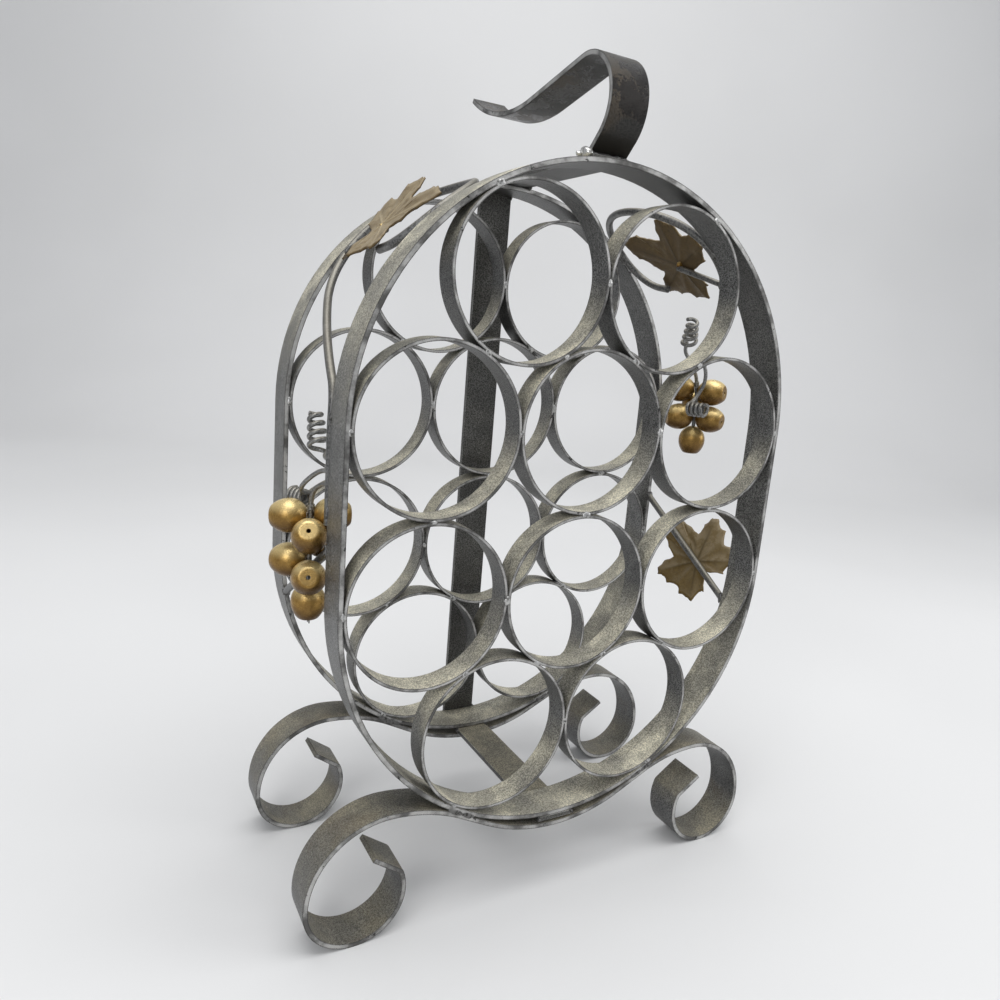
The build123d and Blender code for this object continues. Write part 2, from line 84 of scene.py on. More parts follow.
class Shader:
    """A node material, built up by short calls."""

    def __init__(self, name):
        self.mat = bpy.data.materials.new(name)
        self.mat.use_nodes = True
        self.tree = self.mat.node_tree
        self.tree.nodes.clear()
        out = self.node("OutputMaterial")
        self.bsdf = self.node("BsdfPrincipled")
        self.link(self.bsdf.outputs[0], out.inputs["Surface"])
        self.coords = self.node("TexCoord").outputs["Object"]
        self.geometry = self.node("NewGeometry")

    def node(self, kind):
        return self.tree.nodes.new("ShaderNode" + kind)

    def link(self, a, b):
        self.tree.links.new(a, b)

    def put(self, socket, value):
        if hasattr(value, "is_output"):
            self.link(value, socket)
        else:
            socket.default_value = value

    def noise(self, scale, detail, rough):
        node = self.node("TexNoise")
        node.inputs["Scale"].default_value = scale
        node.inputs["Detail"].default_value = detail
        node.inputs["Roughness"].default_value = rough
        self.link(self.coords, node.inputs["Vector"])
        return node.outputs[0]

    def fit(self, value, low, high, to_low=0.0, to_high=1.0):
        node = self.node("MapRange")
        node.interpolation_type = "SMOOTHSTEP"
        for i, v in enumerate((value, low, high, to_low, to_high)):
            self.put(node.inputs[i], v)
        return node.outputs[0]

    def math(self, kind, a, b):
        node = self.node("Math")
        node.operation = kind
        self.put(node.inputs[0], a)
        self.put(node.inputs[1], b)
        return node.outputs[0]

    def times(self, a, b):
        return self.math("MULTIPLY", a, b)

    def mix(self, amount, a, b):
        node = self.node("Mix")
        node.data_type = "RGBA"
        self.put(node.inputs[0], amount)
        for socket, v in ((node.inputs[6], a), (node.inputs[7], b)):
            self.put(socket, v if hasattr(v, "is_output") else (*v, 1.0))
        return node.outputs[2]

    def axis(self, vector, axis):
        node = self.node("SeparateXYZ")
        self.link(vector, node.inputs[0])
        return node.outputs[axis]

    def facing(self, axis):
        """How far a face looks along an axis of the part."""
        return self.axis(self.geometry.outputs["Normal"], axis)

    def height(self):
        """Height over the floor."""
        return self.axis(self.coords, "Z")

    def value(self, name):
        """A value that the mesh holds."""
        node = self.node("Attribute")
        node.attribute_name = name
        return node.outputs["Fac"]

    def rounded(self, radius):
        """Normal softened over the edges, and a mask that is 1 along them."""
        node = self.node("Bevel")
        node.samples = 6
        node.inputs["Radius"].default_value = radius
        dot = self.node("VectorMath")
        dot.operation = "DOT_PRODUCT"
        self.link(node.outputs[0], dot.inputs[0])
        self.link(self.geometry.outputs["Normal"], dot.inputs[1])
        return node.outputs[0], self.fit(dot.outputs["Value"], 0.995, 0.80)

    def bump(self, height, strength, distance, normal=None):
        node = self.node("Bump")
        node.inputs["Strength"].default_value = strength
        node.inputs["Distance"].default_value = distance
        self.link(height, node.inputs["Height"])
        if normal is not None:
            self.link(normal, node.inputs["Normal"])
        return node.outputs[0]

    def finish(self, color, rough, normal, metallic):
        self.link(color, self.bsdf.inputs["Base Color"])
        self.put(self.bsdf.inputs["Roughness"], rough)
        self.put(self.bsdf.inputs["Normal"], normal)
        self.put(self.bsdf.inputs["Metallic"], metallic)
        return self.mat


def tone(color, share):
    """A darker or lighter tone of a colour."""
    return [min(1.0, share * c) for c in color]


RUST = (0.115, 0.082, 0.046)
BLACK_PAINT = (0.007, 0.006, 0.006)
RUBBED_DARK = (0.110, 0.108, 0.103)
# Narrow faces: the bright rubbed tone is also a painted highlight, the edge tone is painted shade.
RUBBED_AND_HIGHLIGHT_BRIGHT = (0.500, 0.496, 0.480)
PAINTED_EDGE_SHADE = (0.052, 0.050, 0.048)
EDGE_CHIP = (0.014, 0.013, 0.012)
# Bare rubbed steel at the edges, also a painted highlight
BARE_EDGE_AND_HIGHLIGHT = (0.60, 0.60, 0.585)
ROD_DUST_AND_TOP_LIGHT = (0.34, 0.315, 0.255)


def steel(
    name, dark, light, dust, dust_least, dust_most, rolled=None, soft=0.07, rust=0.0, wet=None,
):
    """Pewter-painted strip: salt and pepper speckle, dust on what faces up, painted shade on what
    faces down, rubbed edges brightened by a painted highlight.

    The narrow faces of a rolled strip look along the axis rolled, and carry a painted highlight
    line down their middle with painted shade at their corners. With wet, black paint blots the
    strip and pools at its foot, up to that height.
    """
    s = Shader(name)
    speck = s.fit(s.noise(1000.0, 4.0, 0.75), 0.51 - soft, 0.51 + soft)
    fleck = s.fit(s.noise(2000.0, 2.0, 0.5), 0.56, 0.70)
    cloud = s.fit(s.noise(46.0, 5.0, 0.6), 0.34, 0.68)
    base = s.mix(speck, dark, light)
    base = s.mix(s.times(fleck, 0.5), base, tone(light, 1.9))
    base = s.mix(s.times(cloud, 0.45), base, tone(dark, 0.9))
    tilt = s.facing("Z")
    # Painted shade: faces that look down are darkened.
    base = s.mix(s.fit(tilt, 0.1, -0.8, 0.0, 0.5), base, tone(dark, 0.5))

    patch = s.fit(s.noise(34.0, 5.0, 0.65), 0.38, 0.66, dust_least, dust_most)
    dusty = s.times(s.fit(tilt, -0.12, 0.70), patch)
    pale = s.fit(s.noise(24.0, 4.0, 0.6), 0.36, 0.62)
    grit = s.mix(pale, tone(dust, 0.36), tone(dust, 0.72))
    salt = s.fit(pale, 0.0, 1.0, 0.55, 0.95)
    grit = s.mix(s.times(speck, salt), grit, tone(dust, 1.5))
    base = s.mix(dusty, base, grit)
    bare = s.fit(dusty, 0.0, 1.0, 0.5, 0.05)
    rough = s.fit(s.math("ADD", s.times(speck, 0.4), dusty), 0.0, 1.2, 0.36, 0.68)

    if rust:
        base = s.mix(s.fit(s.noise(31.0, 4.0, 0.6), 0.50, 0.68, 0.0, rust), base, RUST)
    if wet:
        blot = s.fit(s.noise(62.0, 5.0, 0.7), 0.50, 0.55)
        pool = s.fit(s.height(), wet + 0.004, wet - 0.004)
        black = s.math("MAXIMUM", s.times(blot, 0.85), pool)
        base = s.mix(black, base, BLACK_PAINT)
        rough = s.fit(black, 0.0, 1.0, rough, 0.20)

    rub = s.fit(s.noise(70.0, 5.0, 0.6), 0.34, 0.64)
    normal, rim = s.rounded(0.0013 if rolled else 0.0009)
    if rolled:
        ends = s.facing(rolled)
        narrow = s.fit(s.times(ends, ends), 0.50, 0.85)
        # Painted highlight: a bright line down the middle of each narrow face over rubbed tones,
        # with painted shade at its corners and on the broad faces beside them; the dark chips are
        # real.
        skin = s.mix(rub, RUBBED_DARK, RUBBED_AND_HIGHLIGHT_BRIGHT)
        skin = s.mix(s.fit(rim, 0.0, 0.30), skin, PAINTED_EDGE_SHADE)
        skin = s.mix(s.fit(s.noise(190.0, 3.0, 0.6), 0.665, 0.70, 0.0, 0.85), skin, EDGE_CHIP)
        color = s.mix(narrow, s.mix(s.times(rim, 0.25), base, dark), skin)
        bare = s.fit(narrow, 0.0, 1.0, bare, 0.80)
        rough = s.fit(narrow, 0.0, 1.0, rough, 0.34)
    else:
        # Bare rubbed steel and a painted highlight along the edges.
        color = s.mix(s.times(rim, s.fit(rub, 0.0, 1.0, 0.15, 0.80)), base, BARE_EDGE_AND_HIGHLIGHT)
    return s.finish(color, rough, s.bump(speck, 0.28, 0.0003, normal), bare)


def rod_steel(name, dark, light, metallic, scale):
    """Drawn rod or wire: smooth grey skin with bright rubbed places, dusty and painted lighter on
    top.
    """
    s = Shader(name)
    fine = s.fit(s.noise(scale, 3.0, 0.6), 0.38, 0.64)
    rub = s.fit(s.noise(90.0, 4.0, 0.6), 0.50, 0.68)
    base = s.mix(fine, dark, light)
    base = s.mix(s.times(rub, 0.35), base, tone(light, 1.6))
    # Dust and painted top light: faces that look up are lighter.
    base = s.mix(s.fit(s.facing("Z"), 0.1, 0.9, 0.0, 0.6), base, ROD_DUST_AND_TOP_LIGHT)
    normal, _ = s.rounded(0.0004)
    normal = s.bump(fine, 0.18, 0.0002, normal)
    return s.finish(base, s.fit(fine, 0.0, 1.0, 0.30, 0.50), normal, metallic)


def weld_metal(name, clean, burnt, rough_low, rough_high):
    """Weld metal: lumpy, with clean and burnt places."""
    s = Shader(name)
    burn = s.fit(s.noise(420.0, 3.0, 0.6), 0.48, 0.64)
    color = s.mix(burn, clean, burnt)
    normal = s.bump(s.noise(2200.0, 2.0, 0.5), 0.3, 0.0002)
    return s.finish(color, s.fit(burn, 0.0, 1.0, rough_low, rough_high), normal, 0.85)


# Painted light on leaf faces that look up
LEAF_PAINTED_TOP_LIGHT = (0.35, 0.285, 0.182)
LEAF_DAB = (0.36, 0.290, 0.18)
# Painted highlight on the raised veins
LEAF_VEIN_HIGHLIGHT = (0.55, 0.46, 0.30)


def leaf_paint(name, brown, tan, under):
    """Tan and olive patina: painted light makes what faces up pale and what faces down browner;
    veins get a painted highlight and creases painted shade.
    """
    s = Shader(name)
    fine = s.fit(s.noise(700.0, 4.0, 0.7), 0.36, 0.66)
    cloud = s.fit(s.noise(75.0, 4.0, 0.6), 0.36, 0.66)
    base = s.mix(fine, brown, tan)
    base = s.mix(s.times(cloud, 0.5), base, [0.5 * (a + b) for a, b in zip(brown, tan)])
    tilt = s.facing("Z")
    # Painted shade: faces that look down go to the under colour.
    base = s.mix(s.fit(tilt, 0.2, -0.8, 0.0, 0.5), base, under)
    # Painted light: faces that look up go pale.
    base = s.mix(s.fit(tilt, 0.0, 0.75, 0.0, 0.8), base, LEAF_PAINTED_TOP_LIGHT)
    base = s.mix(s.fit(s.noise(140.0, 5.0, 0.7), 0.47, 0.62, 0.0, 0.55), base, tone(tan, 0.75))
    base = s.mix(s.fit(s.noise(110.0, 4.0, 0.65), 0.54, 0.72, 0.0, 0.22), base, LEAF_DAB)
    # Painted highlight on the raised veins of the top face.
    base = s.mix(s.times(s.value("vein"), 0.5), base, LEAF_VEIN_HIGHLIGHT)
    # Painted shade in the creases along the veins on the under face.
    base = s.mix(s.times(s.value("crease"), 0.5), base, tone(brown, 0.35))
    normal, rim = s.rounded(0.0005)
    base = s.mix(s.times(rim, 0.4), base, tone(tan, 1.5))
    normal = s.bump(fine, 0.25, 0.0003, normal)
    s.bsdf.inputs["Specular IOR Level"].default_value = 0.25
    return s.finish(base, s.fit(fine, 0.0, 1.0, 0.45, 0.65), normal, 0.2)


GOLD_GROUND = (0.205, 0.112, 0.024)
GOLD_COAT = (0.345, 0.202, 0.048)
GOLD_FLECK = (0.50, 0.33, 0.10)
# Painted light above and painted shade below the beads
GOLD_PAINTED_TOP_LIGHT = (0.92, 0.72, 0.34)
GOLD_PAINTED_UNDER_SHADE = (0.082, 0.040, 0.010)
GOLD_RIM = (0.60, 0.43, 0.16)


def gold_paint(name):
    """Antique gold over a brown ground, with painted light above and painted shade below."""
    s = Shader(name)
    cloud = s.fit(s.noise(170.0, 5.0, 0.62), 0.34, 0.66)
    fine = s.fit(s.noise(1100.0, 3.0, 0.65), 0.38, 0.64)
    base = s.mix(cloud, GOLD_GROUND, GOLD_COAT)
    base = s.mix(s.times(fine, 0.25), base, GOLD_FLECK)
    tilt = s.facing("Z")
    # Painted light: faces that look up go bright gold.
    base = s.mix(s.fit(tilt, 0.15, 0.90, 0.0, 0.9), base, GOLD_PAINTED_TOP_LIGHT)
    # Painted shade: faces that look down go dark.
    base = s.mix(s.fit(tilt, 0.25, -0.65, 0.0, 0.9), base, GOLD_PAINTED_UNDER_SHADE)
    normal, rim = s.rounded(0.0010)
    base = s.mix(s.times(rim, 0.25), base, GOLD_RIM)
    normal = s.bump(fine, 0.16, 0.0003, normal)
    return s.finish(base, s.fit(cloud, 0.0, 1.0, 0.36, 0.24), normal, 0.65)


PALE_DUST = (0.640, 0.602, 0.470)
# Dust on the feet, dimmed as painted shade
SHADED_FOOT_DUST = (0.285, 0.260, 0.188)
BAR_DUST = (0.390, 0.355, 0.255)
HANDLE_DUST = (0.075, 0.066, 0.048)
PEPPER = (0.046, 0.046, 0.045)
SALT = (0.235, 0.236, 0.231)
BAR_PEPPER = (0.026, 0.026, 0.025)
BAR_SALT = (0.150, 0.150, 0.145)
HANDLE_PEPPER = (0.014, 0.014, 0.013)
HANDLE_SALT = (0.058, 0.055, 0.050)
PAINT_POOL = 0.010          # height of the black paint at the foot of the handle

STRIP = steel("strip_steel", PEPPER, SALT, PALE_DUST, 0.45, 0.95, "Y")
# Feet: their dust is dimmed as painted shade.
FOOT = steel("foot_steel", PEPPER, SALT, SHADED_FOOT_DUST, 0.45, 0.90, "Y", soft=0.12, rust=0.3)
BAR = steel("bar_steel", BAR_PEPPER, BAR_SALT, BAR_DUST, 0.55, 0.95, soft=0.10)
HANDLE = steel(
    "handle_steel", HANDLE_PEPPER, HANDLE_SALT, HANDLE_DUST, 0.1, 0.5, "X",
    rust=0.35, wet=BAR_TOP + PAINT_POOL,
)
ROD = rod_steel("rod_steel", (0.075, 0.075, 0.074), (0.190, 0.190, 0.186), 0.7, 900.0)
WIRE = rod_steel("wire_steel", (0.110, 0.110, 0.108), (0.320, 0.320, 0.312), 0.85, 1600.0)
WELD = weld_metal("weld_metal", (0.47, 0.47, 0.46), (0.12, 0.117, 0.11), 0.30, 0.5)
BRIGHT_WELD = weld_metal("bright_weld", (0.66, 0.66, 0.645), (0.36, 0.355, 0.34), 0.26, 0.4)
DULL_WELD = weld_metal("dull_weld", (0.165, 0.163, 0.158), (0.050, 0.048, 0.045), 0.30, 0.5)
# The last colour of each leaf paint is its painted shade on faces that look down.
LEAF = leaf_paint(
    "leaf_paint", (0.088, 0.059, 0.026), (0.175, 0.121, 0.056), (0.062, 0.043, 0.021),
)
LOW_LEAF = leaf_paint(
    "low_leaf_paint", (0.100, 0.064, 0.018), (0.215, 0.140, 0.042), (0.120, 0.078, 0.022),
)
GOLD = gold_paint("gold_paint")

# The material of a node by the first of these words in its name
WORDS = [
    ("grape", GOLD), ("tendril", WIRE), ("bunch", WIRE),
    ("stem", ROD), ("rod", ROD), ("stalk", ROD), ("leaf", LEAF),
    ("handle", HANDLE), ("foot", FOOT), ("bar", BAR), ("spine", BAR), ("", STRIP),
]


def dress(name, obj):
    obj.data.materials.clear()
    obj.data.materials.append(next(mat for word, mat in WORDS if word in name))
    for face in obj.data.polygons:
        face.material_index = 0


for node_name, node_object in nodes.items():
    dress(node_name, node_object)


def add_piece(name, bm, mat):
    mesh = bpy.data.meshes.new(name)
    bm.to_mesh(mesh)
    bm.free()
    for face in mesh.polygons:
        face.use_smooth = True
    obj = bpy.data.objects.new(name, mesh)
    bpy.context.scene.collection.objects.link(obj)
    mesh.materials.append(mat)
    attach(obj, "root")
    return obj


def ring_centres():
    high = HALF + PITCH * math.sqrt(3) / 2
    rows = [(high, 2), (HALF, 3), (-HALF, 3), (-high, 2)]
    return [(PITCH * (i - (n - 1) / 2), z) for z, n in rows for i in range(n)]


def frame_joints():
    """Where a frame's rings touch each other and the hoop, and the direction across each joint."""
    centres = ring_centres()
    joints = []
    for i, (ax, az) in enumerate(centres):
        for bx, bz in centres[:i]:
            if math.hypot(ax - bx, az - bz) < 1.01 * PITCH:
                joints.append(((ax + bx) / 2, (az + bz) / 2, ax - bx, az - bz))
    for x, z in centres:
        middle = math.copysign(HALF, z)
        out = math.hypot(x, z - middle)
        if out > HALF:
            k = (PITCH + RING_R) / out
            joints.append((x * k, middle + (z - middle) * k, x, z - middle))
    return joints


def on_oval(along, aside, out=0.0):
    """Point on the left side of the oval, and the directions up it and out of it.

    Along is measured up the oval from the top of its straight side, aside from the middle
    of the rack to the back, and out from the middle of the hoop's wall.
    """
    r = OVAL_R + out
    a = along / OVAL_R if along > 0 else min(0.0, along + 2 * HALF) / OVAL_R
    middle = max(0.0, min(2 * HALF, along + 2 * HALF)) - HALF
    outward = Vector((-math.cos(a), 0.0, math.sin(a)))
    climb = Vector((math.sin(a), 0.0, math.cos(a)))
    return Vector((0.0, aside, CENTRE_Z + middle)) + outward * r, climb, outward


def half_turn(v):
    """From the left ornament to the right one."""
    return Vector((-v.x, -v.y, v.z))


def stem_aside(along):
    """Where a stem is beside the middle of the rack, on its bend up to the far hoop."""
    lean = math.asin((CROOK_AT - along) / HIGH_BEND_R)
    return RUN_V - HIGH_BEND_R * (1 - math.cos(lean))


# Leaves: the outline of the solids, with finer teeth, raised veins and a crinkled blade
LEAF_TIP = 0.054
LEAF_EDGE = [
    (0, 1.0), (9, 0.89), (14, 0.80), (16, 0.69), (24, 0.57), (36, 0.42), (45, 0.57),
    (55, 0.68), (63, 0.69), (70, 0.59), (79, 0.59), (97, 0.46), (108, 0.54), (122, 0.54),
    (133, 0.58), (146, 0.44), (155, 0.45), (168, 0.28), (180, 0.22),
]
LEAF_RIBS = [(0, 0.92), (60, 0.64), (-60, 0.64), (131, 0.53), (-131, 0.53)]
LEAF_BEND_R = 0.250
LEAF_WALL = 0.0012
LEAF_UP = 0.120
LEAF_ASIDE = 0.005
LEAF_TILT = math.radians(4.0)
STALK_FOOT = 0.104
STALK_OUT = 0.0005
LOW_LEAF_SHIFT = 0.018
LOW_LEAF_TILT = math.radians(25.0)

EDGE_STEPS = 4              # points from one corner of the outline to the next
EDGE_RINGS = 11             # rows of faces from the stalk end to the edge
SCALLOP = 0.0006
EDGE_RAGGED = 0.0003
VEIN_RISE = 0.0007
VEIN_HALF = 0.0010
VEIN_FADE = 2.2             # how fast a vein fades out towards its tip
SIDE_VEIN_STEP = 0.0085
SIDE_VEIN_HALF = 0.0006
SIDE_VEIN_REACH = 0.008
SIDE_VEIN_SLANT = 1.1
SIDE_VEIN_SHARE = 0.55      # strength of a side vein beside a main one
BULGE = 0.0011
BULGE_ANGLE = 0.6           # from a vein over the bulge beside it
BULGE_FROM = 0.022          # the bulge is full from here outward
CRINKLE = 0.0018
CRINKLE_SCALE = 55
CRINKLE_FROM = 0.03         # the crinkle is full from here outward
ROD_SEAT = 0.0022           # half of the flat strip of the blade along its stalk
SEAT_BLEND = 0.004          # from that strip to the full crinkle


def clamp(x):
    return max(0.0, min(1.0, x))


def leaf_outline(seed):
    keys = LEAF_EDGE + [(-angle, share) for angle, share in LEAF_EDGE[-2:0:-1]]
    corners = []
    for angle, share in keys:
        a = math.radians(angle)
        corners.append(Vector((math.cos(a), math.sin(a))) * (LEAF_TIP * share))
    rng = random.Random(seed)
    points = []
    for p, q in zip(corners, corners[1:] + corners[:1]):
        out = Vector((q.y - p.y, p.x - q.x)).normalized()
        for k in range(EDGE_STEPS):
            t = k / EDGE_STEPS
            ragged = rng.uniform(-EDGE_RAGGED, EDGE_RAGGED)
            points.append(p.lerp(q, t) + out * (ragged - SCALLOP * math.sin(math.pi * t)))
    return points


def leaf_form(u, v, seed):
    """Height of the blade over the flat leaf, and how much of a main or of any vein is there."""
    vein = 0.0
    side_vein = 0.0
    far = math.pi
    reach = math.hypot(u, v)
    for angle, share in LEAF_RIBS:
        a = math.radians(angle)
        along = u * math.cos(a) + v * math.sin(a)
        off = v * math.cos(a) - u * math.sin(a)
        if along <= 0:
            continue
        fade = clamp(VEIN_FADE * (1 - along / (LEAF_TIP * share)))
        vein = max(vein, fade * math.exp(-(off / VEIN_HALF) ** 2))
        far = min(far, abs(math.atan2(off, along)))
        step = (along - SIDE_VEIN_SLANT * abs(off)) % SIDE_VEIN_STEP - SIDE_VEIN_STEP / 2
        near = math.exp(-(off / SIDE_VEIN_REACH) ** 2)
        side_vein = max(side_vein, fade * near * math.exp(-(step / SIDE_VEIN_HALF) ** 2))
    away = clamp((abs(v) - ROD_SEAT) / SEAT_BLEND)
    arch = math.sin(min(1.0, far / BULGE_ANGLE) * math.pi)
    bulge = BULGE * arch * min(1.0, reach / BULGE_FROM)
    spot = Vector((u * CRINKLE_SCALE + seed, v * CRINKLE_SCALE, seed * 1.7))
    wave = CRINKLE * abs(noise.noise(spot)) * min(1.0, reach / CRINKLE_FROM)
    cup = LEAF_BEND_R - math.sqrt(LEAF_BEND_R ** 2 - v * v)
    return cup + away * (bulge + wave), vein, max(vein, SIDE_VEIN_SHARE * side_vein)


def leaf_piece(node, mat, base, rod_r, tip, outward, tilt, turned, seed):
    """The blade that replaces a leaf node, on a rod that runs through base along tip."""
    flat = (outward - tip * outward.dot(tip)).normalized()
    up = flat * math.cos(tilt) - flat.cross(tip) * math.sin(tilt)
    side = up.cross(tip)
    seat = base + up * (rod_r + WELD_GAP)
    edge = leaf_outline(seed)
    count = len(edge)
    bm = bmesh.new()
    # vein and crease hold the vein pattern: on the top face it is painted as a highlight, on the
    # under face as shade in the creases.
    veins = bm.verts.layers.float.new("vein")
    creases = bm.verts.layers.float.new("crease")
    rims = []
    for top in (1, 0):
        rows = []
        for k in range(EDGE_RINGS + 1):
            row = []
            for p in edge if k else edge[:1]:
                u, v = p * (k / EDGE_RINGS)
                height, vein, crease = leaf_form(u, v, seed)
                height += top * (LEAF_WALL + VEIN_RISE * vein)
                at = seat + tip * u + side * v + up * height
                vert = bm.verts.new(half_turn(at) if turned else at)
                vert[veins] = crease if top else 0.0
                vert[creases] = 0.0 if top else crease
                row.append(vert)
            rows.append(row)
        rims.append(rows[-1])
        for k in range(EDGE_RINGS):
            for i in range(count):
                j = (i + 1) % count
                outer = (rows[k + 1][i], rows[k + 1][j])
                inner = (rows[k][j], rows[k][i]) if k else (rows[0][0],)
                bm.faces.new(outer + inner if top else (outer + inner)[::-1])
    over, under = rims
    for i in range(count):
        j = (i + 1) % count
        bm.faces.new((over[j], over[i], under[i], under[j]))
    bmesh.ops.recalc_face_normals(bm, faces=bm.faces)
    piece = add_piece(node + "_blade", bm, mat)
    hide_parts(node)


def upper_leaves():
    base, _, outward = on_oval(LEAF_UP, LEAF_ASIDE, STALK_OUT)
    land, _, _ = on_oval(STALK_FOOT, stem_aside(STALK_FOOT), STALK_OUT)
    tip = (base - land).normalized()
    for node, turned, seed in (("left_leaf", False, 3), ("right_leaf", True, 8)):
        leaf_piece(node, LEAF, base, STALK_R, tip, outward, LEAF_TILT, turned, seed)


def lower_leaf():
    rod_top, _, _ = on_oval(LOW_ROD_TOP, -INNER_Y)
    rod_foot, _, _ = on_oval(LOW_ROD_FOOT, INNER_Y)
    tip = (rod_top - rod_foot).normalized()
    base = (rod_top + rod_foot) / 2 - tip * LOW_LEAF_SHIFT
    outward = Vector((-1, 0, 0))
    leaf_piece("right_lower_leaf", LOW_LEAF, base, ROD_R, tip, outward, LOW_LEAF_TILT, True, 5)


# Welds: length, width and height of each kind of lump
RING_WELD = (0.0048, 0.0032, 0.0012)
FOOT_WELD = (0.0110, 0.0036, 0.0009)
BAR_WELD = (0.0090, 0.0034, 0.0012)
SPINE_WELD = (0.0070, 0.0030, 0.0012)
HANDLE_FRONT_WELD = (0.0078, 0.0038, 0.0015)
HANDLE_BACK_WELD = (0.0078, 0.0036, 0.0014)
HANDLE_BLOB = (0.0100, 0.0062, 0.0030)
HANDLE_DROP = (0.0070, 0.0048, 0.0016)
VINE_WELD = (0.0075, 0.0034, 0.0014)
LEAF_WELD = (0.0042, 0.0036, 0.0026)
RUFFLED = 0.30
SMOOTH = 0.15
RUFFLE_SCALE = 1.6
RUFFLE_SHIFT = (7.13, 3.7, 1.9)

# Places of the welds, from the edges that they cover
RING_WELD_SHARE = (0.75, 1.30)
RING_WELD_SLIP = 0.0010
RING_WELD_SINK = 0.0004
FOOT_WELD_SINK = 0.0003
FOOT_WELD_SHIFT = 0.0045
BAR_SEAM = 0.0127           # seam beside a bar or the spine, from the middle of the rack
BAR_WELD_OUTER = 0.002      # from the outer edges of the hoops
BAR_WELD_INNER = 0.0015     # from their inner edges
BAR_WELD_DROP = 0.0006
SPINE_WELD_IN = 0.0018
SPINE_WELD_BACK = 0.0004
HANDLE_WELDS = 5
HANDLE_WELD_STEP = 0.0050
HANDLE_WELD_RISE = 0.0004
HANDLE_FRONT_SEAM = 0.0024  # the handle's seams, from the middle of its wall
HANDLE_BACK_SEAM = 0.0026
BLOB_AT = Vector((-0.0132, HANDLE_FOOT_Y, BAR_TOP + 0.0012))
DROP_AT = Vector((-0.0152, HANDLE_FOOT_Y + 0.003, BAR_TOP + 0.0003))
VINE_SEAM = 0.0022          # seam between a stem and its hoop, from the middle of the stem
VINE_WELD_RISE = 0.0012
LOW_RUN_AT = 0.002          # lower welds of the stems, along the oval
LEFT_RUN_END = -0.048
RIGHT_RUN_END = -0.010
ROD_WELD_UP = 0.0005        # from the end of a rod or stalk, along the oval
ROD_WELD_IN = 0.0012
STALK_WELD_ASIDE = 0.0032
STALK_WELD_OUT = 0.0003
LEAF_WELD_DROP = 0.0005
LEAF_WELD_ASIDE = 0.0012
LEAF_WELD_RISE = 0.0014
LEAF_WELD_SLIPS = (-0.0022, 0.0, 0.0021)
weld_rng = random.Random(11)


def lump(bm, at, along, face, size, ruffle=RUFFLED):
    """A lump of weld: long one way, flat against a face, ruffled by noise."""
    seed = weld_rng.uniform(0, 50)
    shift = Vector([seed * k for k in RUFFLE_SHIFT])
    length, width, proud = size
    x = Vector(along).normalized()
    z = Vector(face).normalized()
    y = z.cross(x).normalized()
    turn = Matrix((x, y, z)).transposed()
    made = bmesh.ops.create_icosphere(bm, subdivisions=3, radius=1.0)
    for v in made["verts"]:
        wobble = 1.0 + ruffle * noise.noise(v.co * RUFFLE_SCALE + shift)
        p = Vector((v.co.x * length / 2, v.co.y * width / 2, v.co.z * proud)) * wobble
        v.co = Vector(at) + turn @ p


def ring_welds(frame_name, front_y):
    """Spot welds where the rings of a frame touch each other and the hoop."""
    bm = bmesh.new()
    for x, z, dx, dz in frame_joints():
        across = Vector((dx, 0, dz)).normalized()
        along = Vector((-across.z, 0, across.x))
        for y, way in ((front_y, -1), (front_y + RING_WIDTH, 1)):
            share = weld_rng.uniform(*RING_WELD_SHARE)
            slip = weld_rng.uniform(-RING_WELD_SLIP, RING_WELD_SLIP)
            at = Vector((x, y - way * RING_WELD_SINK, CENTRE_Z + z)) + along * slip
            lump(bm, at, along, (0, way, 0), [share * v for v in RING_WELD])
    add_piece(frame_name + "_ring_welds", bm, WELD)


